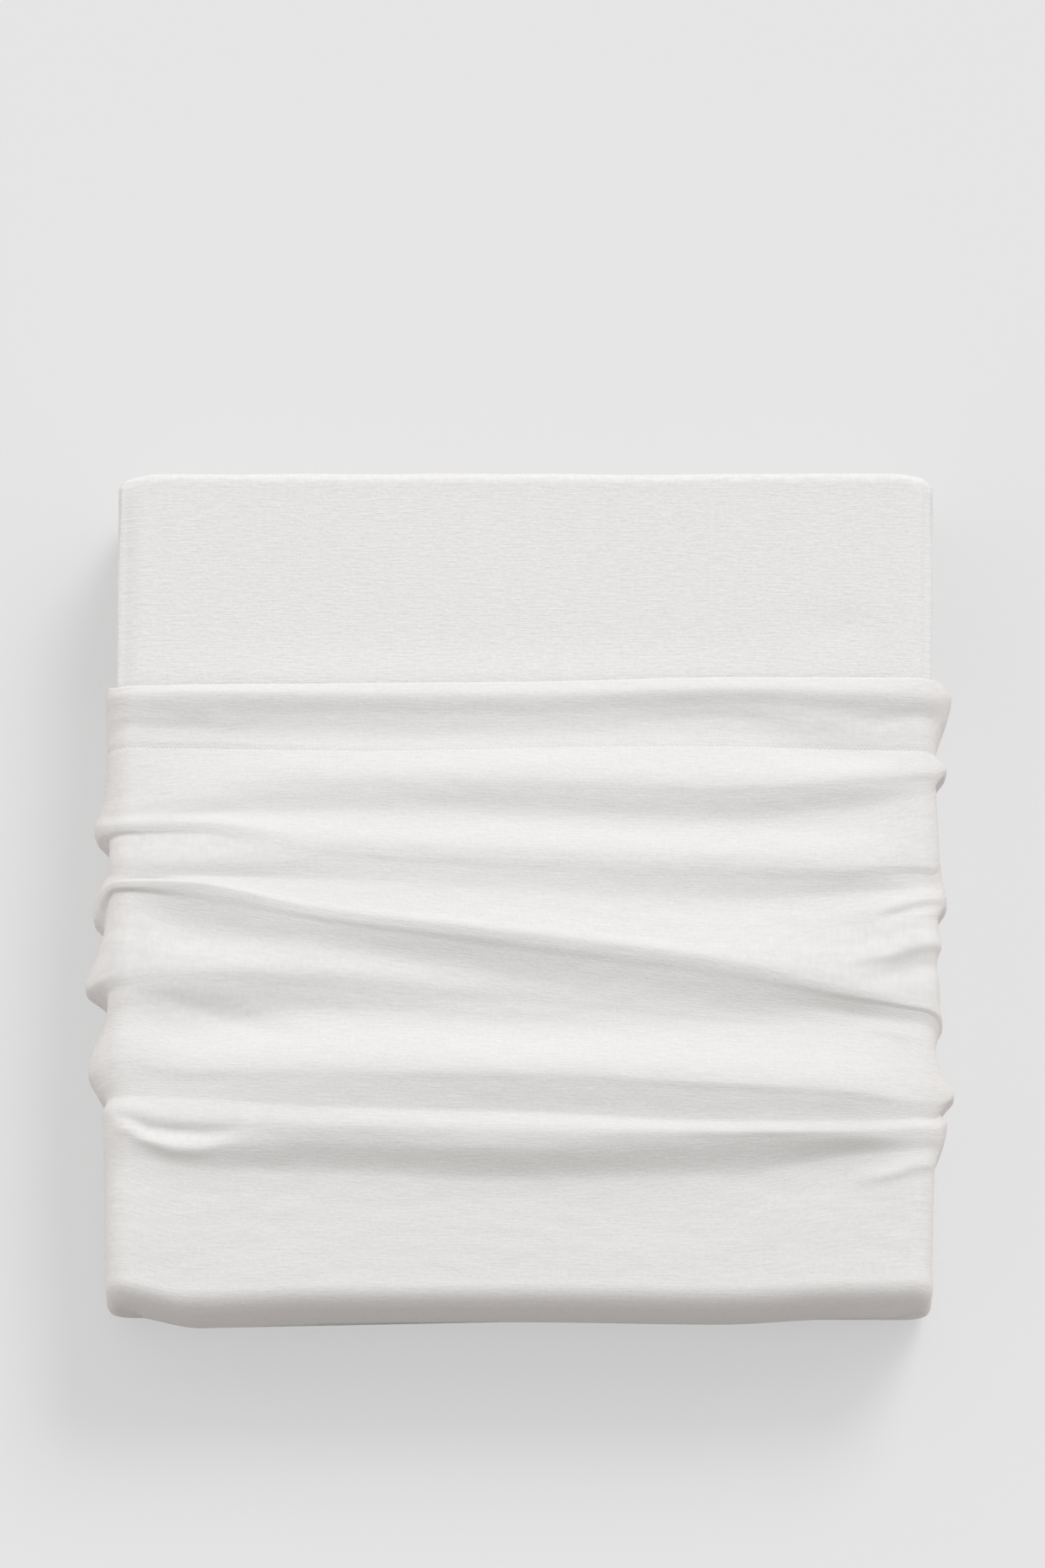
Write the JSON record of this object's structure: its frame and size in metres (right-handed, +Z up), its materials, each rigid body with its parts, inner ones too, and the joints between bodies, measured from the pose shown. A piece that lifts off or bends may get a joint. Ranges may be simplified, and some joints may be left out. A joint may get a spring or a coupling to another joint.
{
  "type": "folded duvet cover in a case",
  "caption": "Off-white duvet cover folded to a flat rectangular packet, with a case of the same cloth drawn over its front and gathered in soft cross folds.",
  "frame": {"origin": "middle of the case's flat underside, on the surface that the packet lies on", "axes": "+Z up, -Y towards the case's closed front edge, +X to the right when looking from the front"},
  "size_m": [0.4259, 0.4189, 0.078],
  "materials": {
    "cover_cloth": "matt off-white plain weave, fine slubs",
    "case_cloth": "matt off-white plain weave, softly creased"
  },
  "bodies": {
    "root": {"folded_cover": "cover_cloth", "outer_case": "case_cloth"}
  },
  "joints": []
}
